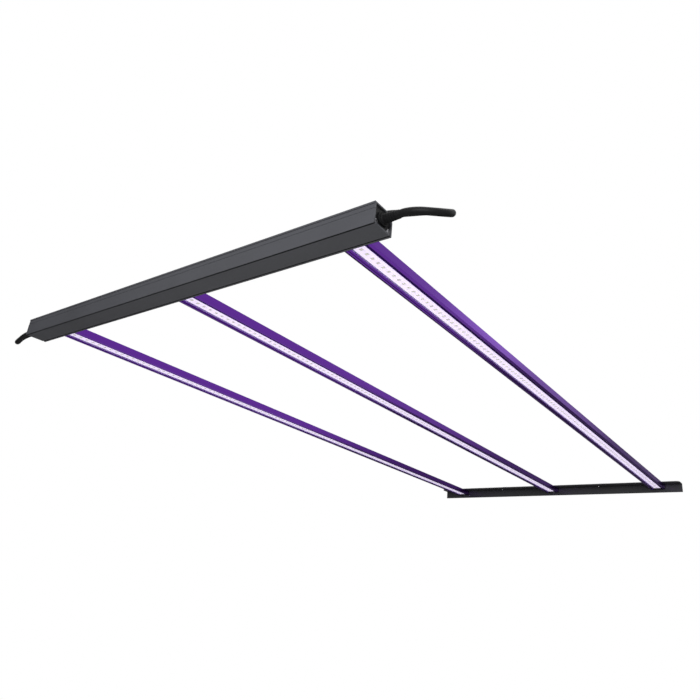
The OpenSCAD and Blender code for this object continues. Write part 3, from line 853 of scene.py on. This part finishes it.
# where the heads stand, in mm, and how far each is turned, in degrees
capScrews = {"x": 273.5, "z": 4.2, "behindAndTurn": [(4.2, 35), (22.8, 80)]}
socketScrews = {"beside": 22, "y": -551, "z": 11.2, "way": (0, 1, 0), "turns": (17, 20)}
railScrews = {"beside": 11.5, "y": 566, "z": 18.2, "way": (0, 0, 1), "turns": (13, 25)}
lugScrews = {"beforeRod": 7.5, "aboveFace": 1, "turn": 40}


def besideBars(s):  # one screw on each side of each light bar
    return [((x + side * s["beside"], s["y"], s["z"]), s["way"],
             s["turns"][0] * number + s["turns"][1] * side)
            for number, x in enumerate(barXs.values()) for side in (-1, 1)]


for side, sign in (("right", 1), ("left", -1)):
    screwSet("case_end_screws_" + side, "end_cap",
             [((sign * capScrews["x"], nearY + behind, capScrews["z"]), (sign, 0, 0), turn)
              for behind, turn in capScrews["behindAndTurn"]],
             "end_cap_screws_" + side, dullZinc, "steel")
screwSet("socket_screw_set", "socket", besideBars(socketScrews), "socket_screws", dullZinc, "steel")
screwSet("rail_screw_set", "rail", besideBars(railScrews), "rail_screws", blackSteel,
         "black_steel")
for carrier in ("driver", "rail"):
    y, face = wireRings[carrier]
    screwSet("lug_screw_set_" + carrier, "lug",
             [((x - lugScrews["beforeRod"], y, face + lugScrews["aboveFace"]), (0, 0, 1),
               lugScrews["turn"] + x / 10) for x in (-wireRings["x"], wireRings["x"])],
             "lug_screws_" + carrier, zinc, "steel")
print("screws driven")

# floor, world and lamps, in metres
studio = {"floorZ": -1.2, "floorSize": 14, "floorTone": 0.85, "floorRoughness": 0.9,
          "ambient": 0.45, "cardBlack": 0.02,
          # name, place, size, watts
          "lamps": [("key", (1.05, -1.7, 0.0), 0.9, 34), ("top", (0.3, -0.4, 1.9), 2.2, 30),
                    ("edge", (1.15, 1.95, 0.9), 0.7, 1.0)],
          # cards that the metal mirrors: middle, width, height, turn about Z, light of its own
          "cards": [((-2.0, 0.5, 0.0), 5.0, 2.4, 90, 0.08),
                    ((0.2, 1.6, -0.6), 4.4, 1.19, 0, 0.14),
                    ((0.2, 3.0, 0.7), 4.4, 1.4, 0, 0.25)]}


def whiteWhereSeen(tree, plain, output):
    # white to the eye, in reflections and through clear pieces, and plain for all other light
    path = tree.nodes.new("ShaderNodeLightPath")
    seen = path.outputs["Is Camera Ray"]
    for kind in ("Is Glossy Ray", "Is Transmission Ray"):
        either = tree.nodes.new("ShaderNodeMath")
        either.operation = "MAXIMUM"
        tree.links.new(seen, either.inputs[0])
        tree.links.new(path.outputs[kind], either.inputs[1])
        seen = either.outputs[0]
    white = tree.nodes.new(
        "ShaderNodeBackground" if output == "World Output" else "ShaderNodeEmission")
    white.inputs["Color"].default_value = (1, 1, 1, 1)
    white.inputs["Strength"].default_value = 1
    mix = tree.nodes.new("ShaderNodeMixShader")
    tree.links.new(seen, mix.inputs["Fac"])
    tree.links.new(plain.outputs[0], mix.inputs[1])
    tree.links.new(white.outputs[0], mix.inputs[2])
    tree.links.new(mix.outputs[0], tree.nodes[output].inputs["Surface"])


def makeWorld(s):
    world = bpy.data.worlds.new("studio")
    bpy.context.scene.world = world
    world.use_nodes = True
    plain = world.node_tree.nodes["Background"]
    plain.inputs["Color"].default_value = (1, 1, 1, 1)
    plain.inputs["Strength"].default_value = s["ambient"]
    whiteWhereSeen(world.node_tree, plain, "World Output")


def layFloor(s):
    deselectAll()
    bpy.ops.mesh.primitive_plane_add(size=s["floorSize"], location=(0, 0, s["floorZ"]))
    floor = added("floor")
    applyPlace(floor)
    paint, tree, shader = startMaterial("floor", (s["floorTone"],) * 3, s["floorRoughness"])
    whiteWhereSeen(tree, shader, "Material Output")
    floor.data.materials.append(paint)


def standCards(s):
    for number, (middle, width, height, turn, light) in enumerate(s["cards"]):
        deselectAll()
        bpy.ops.mesh.primitive_plane_add(size=1, rotation=(math.pi / 2, 0, math.radians(turn)),
                                         location=middle)
        card = added("card_%d" % number)
        card.scale = (width, height, 1)
        applyPlace(card)
        paint, tree, shader = startMaterial("card_%d" % number, (s["cardBlack"],) * 3, 1,
                                            specular=0)
        glowing(shader, (1, 1, 1), light)
        card.data.materials.append(paint)
        card.visible_camera = False


def hangLamps(s):  # each one faces the middle of the light bars
    for name, place, size, watts in s["lamps"]:
        lamp = bpy.data.objects.new(name, bpy.data.lights.new(name, "AREA"))
        bpy.context.scene.collection.objects.link(lamp)
        lamp.data.shape, lamp.data.size, lamp.data.energy = "SQUARE", size, watts
        lamp.location = place
        lamp.rotation_euler = (-Vector(place)).to_track_quat("-Z", "Y").to_euler()
        lamp.visible_camera = False


bpy.context.scene.view_settings.view_transform = "Standard"
makeWorld(studio)
layFloor(studio)
standCards(studio)
hangLamps(studio)
print("studio set")

bpy.context.view_layer.update()
